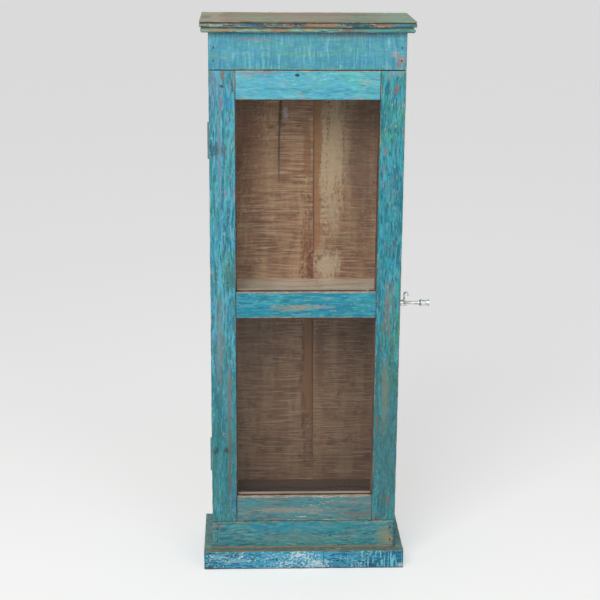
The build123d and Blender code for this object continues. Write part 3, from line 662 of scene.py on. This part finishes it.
rail_coats = {
    "door_rail_top": [
        "#56B2C8",
        ("area", "#5CBAB6", 0.42, 0.66),
        ("band", "#3A9CB6", 0.45, 0.72),
        ("streak", "#7CC8D8", 0.46, 0.8),
        ("brush", "#3A92A8", 0.5, 0.74),
        ("rub", "#98A4BC", 0.55, 0.74),
        ("fibre", "#90CEDA", 0.56, 0.74),
    ],
    "door_rail_middle": [
        "#2C94AC",
        ("area", "#3A9E96", 0.42, 0.66),
        ("band", "#1E88A4", 0.45, 0.64),
        ("streak", "#50A8BA", 0.46, 0.66),
        ("brush", "#1E788A", 0.5, 0.66),
        ("rub", "#7E9098", 0.58, 0.7),
        ("fibre", "#60B4C2", 0.56, 0.7),
    ],
    "door_rail_bottom": [
        "#54868E",
        ("area", "#4A929A", 0.42, 0.66),
        ("band", "#66888A", 0.46, 0.66),
        ("streak", "#8A958A", 0.5, 0.7),
        ("brush", "#456F74", 0.5, 0.7),
        ("rub", "#8E7C74", 0.56, 0.72),
    ],
}
rail_stains = {
    "door_rail_top": [(-21, 1090, 4, 4, "#2E3F46", 1.0), (-110, 1094, 60, 3, "#9A8C98", 0.5)],
    "door_rail_middle": [
        (-26, 596, 40, 6, "#A89678", 0.65),
        (14, 600, 44, 4, "#B09C7C", 0.6),
        (-20, 575, 140, 2.5, "#AE9C7C", 0.7),
    ],
    "door_rail_bottom": [(-20, 132, 90, 7, "#A89F92", 0.55), (120, 122, 40, 6, "#86604A", 0.4)],
}
# Dirt and bare wood where the rails meet the stiles
joint_brown = "#6E5A62"
joints = [("X", -148.6, -146.2, joint_brown, 0.75), ("X", 148.4, 150.4, joint_brown, 0.75)]
# Worn to pale bare wood, most on top, whitened further as a painted highlight
for number, (name, coats) in enumerate(rail_coats.items()):
    paint = worn_paint(
        "worn_" + name, name, "X", coats, 61.0 + number, 0.4, ("#9A8A7A", "#E0D6C8"),
        bare_top=0.5, stains=rail_stains[name], lines=joints,
    )
    aged_board(name, "X", paint)
# Pegs split from straight-grained wood, driven blind through the tenons
peg_coats = ["#8C6A4B", ("streak", "#6A4C33", 0.5, 0.6), ("kerf", "#A88763", 0.55, 0.65)]
dress(sawn_timber("riven_peg_wood", "Y", peg_coats, 8.0), "door_pegs")

# Glazing beads: reddish-brown strips of softwood, four behind each pane, that hold it in the
# door's rebate. Never painted, and made pale on top with a painted reflection.

bead_wood_coats = ["#7A5240", ("streak", "#5A3A2C", 0.5, 0.62), ("band", "#96705A", 0.54, 0.66)]
for grain, sides in (("Z", ("left", "right")), ("X", ("top", "bottom"))):
    # Their tops get a pale painted reflection
    bead_wood = sawn_timber(
        "red_brown_bead_wood_" + grain, grain, bead_wood_coats, 9.0, painted_top_sheen="#CDBEB2"
    )
    for pane in ("upper", "lower"):
        for side in sides:
            aged_board(f"glazing_bead_{pane}_{side}", grain, bead_wood, rounding=0.0004)

# Glass: two panes of 3 mm drawn window glass, cut to the rebates. It is all but colourless, with
# smooth faces, and lets the lamps through to the shelf as real glass does.

material, tree, shader = new_material("drawn_window_glass")
glass_tint = linear("#F8FAF7")
shader.inputs["Base Color"].default_value = glass_tint
shader.inputs["Roughness"].default_value = 0.02
# Below the 1.5 of real glass, because the old panes reflect almost nothing from in front
shader.inputs["IOR"].default_value = 1.25
shader.inputs["Transmission Weight"].default_value = 1.0
clear = add(tree, "BsdfTransparent", {"Color": glass_tint}).outputs[0]
# Light on its way to the wood passes straight through
rays = add(tree, "LightPath", {})
either = {0: rays.outputs["Is Shadow Ray"], 1: rays.outputs["Is Diffuse Ray"]}
passing = add(tree, "Math", either, operation="MAXIMUM").outputs[0]
pane = add(tree, "MixShader", {0: passing, 1: shader.outputs[0], 2: clear}).outputs[0]
tree.links.new(pane, tree.nodes["Material Output"].inputs["Surface"])
dress(material, "glass_upper", "glass_lower")

# Apron and base: the softwood board under the door, rubbed at its right end, and the three
# butt-jointed boards round its foot, whose thick blue paint is scraped to white in the middle.

apron_coats = [
    "#3C8E94",
    ("area", "#44918C", 0.42, 0.66),
    ("band", "#2A7C92", 0.45, 0.64),
    ("streak", "#68A8AC", 0.48, 0.68),
    ("rub", "#7C8A84", 0.52, 0.68),
    ("brush", "#2A6E78", 0.5, 0.66),
    ("fibre", "#76A49E", 0.54, 0.7),
]
apron_stains = [
    (-40, 92, 150, 9, "#2090AC", 0.6),
    (-20, 64, 120, 10, "#6A8E88", 0.5),
    (178, 70, 18, 26, "#88937A", 0.8),
    (190, 62, 9, 12, "#A3906C", 0.7),
    (189, 90, 5, 2.5, "#A85C3C", 0.9),
    (189, 84, 4, 2, "#A85C3C", 0.8),
    (85, 74, 5, 3.5, "#7A5A74", 0.6),
    (85, 66, 3.5, 2.5, "#74566C", 0.6),
    (-90, 88, 26, 8, "#1E84A8", 0.6),
    (-191, 95, 7, 4, "#7E5850", 0.7),
    (-178, 88, 8, 5, "#2A5E74", 0.6),
    (58, 70, 4, 3, "#2E4A4C", 0.8),
    (-188, 95, 16, 4, "#84787E", 0.6),
]
apron_lines = [("Z", 43.0, 46.5, "#B5805E", 0.75)]
paint = worn_paint(
    "worn_apron_paint", "apron_board", "X", apron_coats, 71.0, 0.2,
    stains=apron_stains, lines=apron_lines,
)
aged_board("apron_board", "X", paint)


def scraped_middle(tree, split, noise):
    """The base's own patterns: two for paler coats that are strongest in the middle of its
    front, and one for upright dashes of paint near its right end."""
    middle, half_width, dashes_from, dashes_full = -0.035, 0.165, 0.05, 0.12
    offset = add(tree, "Math", {0: split.outputs[0], 1: middle}, operation="SUBTRACT").outputs[0]
    offset = add(tree, "Math", {0: offset}, operation="ABSOLUTE").outputs[0]
    fading = {0: offset, 1: half_width * 0.3, 2: half_width * 1.3, 3: 0.16, 4: -0.02}
    near = add(tree, "MapRange", fading).outputs[0]
    noise["middle"] = add(tree, "Math", {0: noise["fibre"], 1: near}, operation="ADD").outputs[0]
    patchy = {0: noise["area"], 1: 0.8, 2: near}
    near = add(tree, "Math", patchy, operation="MULTIPLY_ADD").outputs[0]
    noise["scraped"] = add(tree, "Math", {0: noise["flake"], 1: near}, operation="ADD").outputs[0]
    growing = {0: split.outputs[0], 1: dashes_from, 2: dashes_full, 3: -0.2, 4: 0.04}
    right = add(tree, "MapRange", growing).outputs[0]
    noise["dashes"] = add(tree, "Math", {0: noise["combed"], 1: right}, operation="ADD").outputs[0]


base_coats = [
    "#1C6C90",
    ("area", "#1F7C84", 0.44, 0.6),
    ("streak", "#3490B0", 0.46, 0.6),
    ("brush", "#164E68", 0.5, 0.62),
    ("dashes", "#80CCE2", 0.56, 0.62),
    ("middle", "#50ACCA", 0.56, 0.64),
    ("scraped", "#C6E2EC", 1.05, 1.13),
]
# The front's ledge is worn to a dull olive, the sides' keep more of the blue
base_woods = [("#506A62", "#7E8C7A"), ("#5C8A90", "#8CA69C"), ("#5C8A90", "#8CA69C")]
base_lines = [("Z", 0.0, 3.0, "#6A4A40", 0.7), ("Y", -18.2, -16.8, "#9A7450", 0.6)]
base_stains = [
    (44, 22, 1.4, 20, "#1C5470", 0.8),
    (216, 6, 7, 6, "#C8D4D4", 0.7),
    (-150, 20, 26, 5, "#A8D4E2", 0.5),
    (-190, 30, 14, 8, "#96CCDE", 0.4),
]
for number, name in enumerate(("base_band_front", "base_band_left", "base_band_right")):
    grain = "X" if name.endswith("front") else "Y"
    paint = worn_paint(
        "worn_" + name, name, grain, base_coats, 81.0 + number, 0.15, base_woods[number],
        bare_top=0.6, stains=base_stains, lines=base_lines, more_patterns=scraped_middle,
    )
    aged_board(name, grain, paint)

# Ironmongery: steel butt hinges, painted over with the wood, iron cut nails gone brown, and the
# nickel-plated plate, hook and keeper of the turn latch. Their filed edges catch the light.


def metal(name, colour, roughness, grime, paint=None, start=0.0):
    """Worked metal, darker and duller in patches. Where it was painted over, bare metal shows
    between patches of paint. start moves them, so that two leaves face to face differ."""
    patch_width = 0.006
    material, tree, shader = new_material(name)
    place = add(tree, "TexCoord", {}).outputs["Object"]
    place = add(tree, "Mapping", {"Vector": place, "Location": (start, start, start)}).outputs[0]
    cloudy = {"Vector": place, "Scale": 1 / patch_width, "Detail": 4.0}
    cloud = add(tree, "TexNoise", cloudy).outputs[0]
    dull = add(tree, "MapRange", {0: cloud, 1: 0.42, 2: 0.7}).outputs[0]
    tarnished = {0: dull, 6: linear(colour), 7: linear(grime)}
    shade = add(tree, "Mix", tarnished, data_type="RGBA").outputs[2]
    duller = {0: cloud, 1: 0.3, 2: 0.7, 3: roughness, 4: roughness + 0.25}
    rough = add(tree, "MapRange", duller).outputs[0]
    shader.inputs["Metallic"].default_value = 1.0
    if paint:
        bare = add(tree, "MapRange", {0: cloud, 1: 0.42, 2: 0.46, 3: 1.0, 4: 0.0}).outputs[0]
        shade = add(tree, "Mix", {0: bare, 6: linear(paint), 7: shade}, data_type="RGBA").outputs[2]
        tree.links.new(bare, shader.inputs["Metallic"])
    tree.links.new(shade, shader.inputs["Base Color"])
    tree.links.new(rough, shader.inputs["Roughness"])
    return material


# Half hidden under the turquoise, the steel is grey with brown rust, and not shiny
painted_steel = metal("painted_over_steel", "#8B867C", 0.4, "#5B4638", paint="#4FA0B0")
door_steel = metal("painted_over_door_steel", "#8B867C", 0.4, "#5B4638", "#4898A8", start=0.3)
# Bright and nearly neutral, its reflections softly blurred by handling
nickel = metal("nickel_plate", "#DDE0DB", 0.28, "#A6AAA3")
# Dark brown, with hardly any shine left
iron = metal("brown_nail_iron", "#4E443B", 0.6, "#3A2A20")
dress(iron, *[name for name in frame["nodes"] if name.endswith("nails")])

hinges = [name for name in frame["nodes"] if name.startswith("hinge") and "screws" not in name]
finishes = {name: door_steel if "door" in name else painted_steel for name in hinges}
finishes.update({name: nickel for name in ("latch_plate", "latch_hook", "latch_keeper")})
for name, finish in finishes.items():
    filed = copy_of(name, "filed_")
    rounding = filed.modifiers.new("filed_edges", "BEVEL")
    rounding.width = 0.0004 if finish == nickel else 0.0002
    rounding.segments = 3
    rounding.angle_limit = radians(35)
    bpy.ops.object.modifier_apply(modifier=rounding.name)
    bpy.ops.object.shade_smooth_by_angle(angle=radians(40))
    dress(finish, filed)

# Lever of the latch: turned from bar in one piece and nickel plated, peened over behind the
# plate, waisted outside the hook, with a ring and a flared end for the fingers.


def turned(name, outline, sides, start):
    """A solid turned about a line along X through a start: distances and radii in millimetres."""
    start = Vector(start)
    reached, radius = outline[0]
    bpy.ops.object.select_all(action="DESELECT")
    bpy.ops.mesh.primitive_circle_add(
        vertices=sides, radius=radius / 1000, fill_type="NGON", rotation=(0, radians(90), 0),
        location=start + Vector((reached / 1000, 0, 0)),
    )
    piece = bpy.context.object
    piece.name = name
    bpy.ops.object.transform_apply(location=True, rotation=True, scale=True)
    bpy.ops.object.mode_set(mode="EDIT")
    bpy.ops.mesh.select_all(action="SELECT")
    for reach, next_radius in outline[1:]:
        step = ((reach - reached) / 1000, 0, 0)
        bpy.ops.mesh.extrude_region_move(TRANSFORM_OT_translate={"value": step})
        centre = start + Vector((reach / 1000, 0, 0))
        growth = next_radius / radius
        bpy.ops.transform.resize(value=(1, growth, growth), center_override=centre)
        reached, radius = reach, next_radius
    bpy.ops.mesh.select_all(action="SELECT")
    bpy.ops.mesh.remove_doubles(threshold=0.000005)
    bpy.ops.mesh.normals_make_consistent(inside=False)
    bpy.ops.object.mode_set(mode="OBJECT")
    bpy.ops.object.shade_smooth_by_angle(angle=radians(40))
    return piece


peened_end = [(0.0, 3.4), (0.3, 4.1), (0.8, 4.4), (1.4, 4.4)]
bearing_and_seat = [(1.4, 3.0), (11.8, 3.0), (11.8, 4.5), (14.8, 4.5)]
collar_and_waist = [
    (14.8, 5.9), (15.0, 6.2), (15.3, 6.1), (15.9, 5.4), (16.9, 4.7), (18.3, 4.2), (20.2, 3.9),
    (32.0, 3.7), (43.4, 3.9),
]
ring = [
    (45.6, 4.7), (47.2, 5.9), (48.2, 7.0), (49.0, 7.4), (49.9, 7.3), (50.6, 6.6), (51.4, 6.1),
    (53.0, 5.9),
]
flared_end = [
    (59.5, 5.7), (62.8, 5.9), (64.8, 6.5), (65.9, 7.1), (66.4, 7.2), (66.8, 6.9), (66.8, 4.6),
    (66.3, 3.6),
]
lever_outline = peened_end + bearing_and_seat + collar_and_waist + ring + flared_end
low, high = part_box("latch_lever")
lever_start = (low.x, (low.y + high.y) / 2, (low.z + high.z) / 2)
lever = turned("turned_latch_lever", lever_outline, 40, lever_start)
dress(nickel, lever)
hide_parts("latch_lever")
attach(lever, bodies["latch_lever"])

# Screws: countersunk steel, their slots sawn across the heads and left at any angle. Three
# hold each leaf of a hinge and two the plate of the latch.

screw_outline = [(-13.0, 0.3), (-10.0, 1.5), (-1.9, 1.6), (-1.6, 1.7), (-0.15, 3.1), (0.0, 3.0)]
screw = turned("slotted_screw", screw_outline, 24, (0, 0, 0))
bpy.ops.object.select_all(action="DESELECT")
bpy.ops.mesh.primitive_cube_add(size=1.0)
saw = bpy.context.object
slot_depth, slot_width = 0.0009, 0.0008
saw.scale = (2 * slot_depth, slot_width, 0.01)
slot = screw.modifiers.new("slot", "BOOLEAN")
slot.object = saw
bpy.context.view_layer.objects.active = screw
bpy.ops.object.modifier_apply(modifier=slot.name)
bpy.data.objects.remove(saw)

leaf_margin, latch_spread = 0.012, 0.0185
hinge_heights = []
for leaf in ("hinge_lower_door_leaf", "hinge_upper_door_leaf"):
    low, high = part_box(leaf)
    hinge_heights += [low.z + leaf_margin, (low.z + high.z) / 2, high.z - leaf_margin]
low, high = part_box("latch_plate")
latch_heights = [(low.z + high.z) / 2 + offset for offset in (-latch_spread, latch_spread)]
screw_groups = {
    "hinge_screws_door": ((0, 1, 0), hinge_heights, door_steel),
    "hinge_screws_frame": ((0, -1, 0), hinge_heights, painted_steel),
    "latch_screws": ((1, 0, 0), latch_heights, nickel),
}
for node, (outwards, heights, finish) in screw_groups.items():
    low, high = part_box(node)
    head = (low + high) / 2
    for axis in range(3):
        if outwards[axis]:
            head[axis] = (high if outwards[axis] > 0 else low)[axis]
    facing = Vector((1, 0, 0)).rotation_difference(Vector(outwards)).to_matrix().to_4x4()
    bpy.ops.object.select_all(action="DESELECT")
    for number, height in enumerate(heights):
        one = bpy.data.objects.new("slotted_" + node, screw.data.copy())
        bpy.context.scene.collection.objects.link(one)
        place = Matrix.Translation((head.x, head.y, height))
        turn = Matrix.Rotation(radians(37 * number + 15), 4, "X")
        one.data.transform(place @ facing @ turn)
        one.select_set(True)
        bpy.context.view_layer.objects.active = one
    bpy.ops.object.join()
    group = bpy.context.object
    dress(finish, group)
    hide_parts(node)
    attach(group, bodies[node])
bpy.data.objects.remove(screw)

# Studio: a plain pale floor, matt as painted board, under a soft pale sky. A soft lamp stands to
# each side of the camera, the left one the stronger, and the camera has the photo's angle.


def background_seen(tree):
    """1 where the camera sees the background, also in gloss and through glass, and else 0."""
    rays = add(tree, "LightPath", {})
    seen = rays.outputs["Is Camera Ray"]
    for way in ("Is Glossy Ray", "Is Transmission Ray"):
        seen = add(tree, "Math", {0: seen, 1: rays.outputs[way]}, operation="MAXIMUM").outputs[0]
    return seen


bpy.ops.object.select_all(action="DESELECT")
bpy.ops.mesh.primitive_plane_add(size=60.0)
floor = bpy.context.object
floor.name = "studio_floor"
material, tree, shader = new_material("pale_floor")
shader.inputs["Base Color"].default_value = linear("#D8D8D5")
shader.inputs["Roughness"].default_value = 0.9
floor_lift = 0.42
lift = add(tree, "Math", {0: background_seen(tree), 1: floor_lift}, operation="MULTIPLY").outputs[0]
shader.inputs["Emission Color"].default_value = linear("#FFFFFF")
tree.links.new(lift, shader.inputs["Emission Strength"])
floor.data.materials.append(material)

scene = bpy.context.scene
world = bpy.data.worlds.new("soft_studio")
world.use_nodes = True
scene.world = world
tree = world.node_tree
surround = tree.nodes["Background"]
surround.inputs["Color"].default_value = linear("#F2F4F6")
sky_on_object, sky_seen = 0.4, 0.78
brightness = {0: background_seen(tree), 3: sky_on_object, 4: sky_seen}
brightness = add(tree, "MapRange", brightness).outputs[0]
tree.links.new(brightness, surround.inputs["Strength"])

# Place and side in metres, and power in watts
lamps = [((-1.0, -2.3, 2.7), 1.6, 52.0), ((1.5, -2.6, 1.7), 1.4, 18.0)]
lit_point = Vector((0.0, 0.0, 0.75))
for place, side, power in lamps:
    bpy.ops.object.light_add(type="AREA", location=place)
    lamp = bpy.context.object
    lamp.data.shape = "SQUARE"
    lamp.data.size = side
    lamp.data.energy = power
    aim = lit_point - lamp.location
    lamp.rotation_euler = aim.to_track_quat("-Z", "Y").to_euler()

# Fitted to the corners of the object in the photo, with angles in degrees
camera_place = (-0.129, -3.056, 1.494)
camera_pitch = 16.03
camera_yaw = 2.19
camera_roll = 0.42
camera_turn = (radians(90 - camera_pitch), 0, radians(-camera_yaw))
bpy.ops.object.camera_add(location=camera_place, rotation=camera_turn)
camera = bpy.context.object
camera.rotation_euler.rotate_axis("Z", radians(camera_roll))
camera.data.lens = 90.07
camera.data.sensor_width = 36.0
scene.camera = camera
scene.view_settings.view_transform = "Standard"
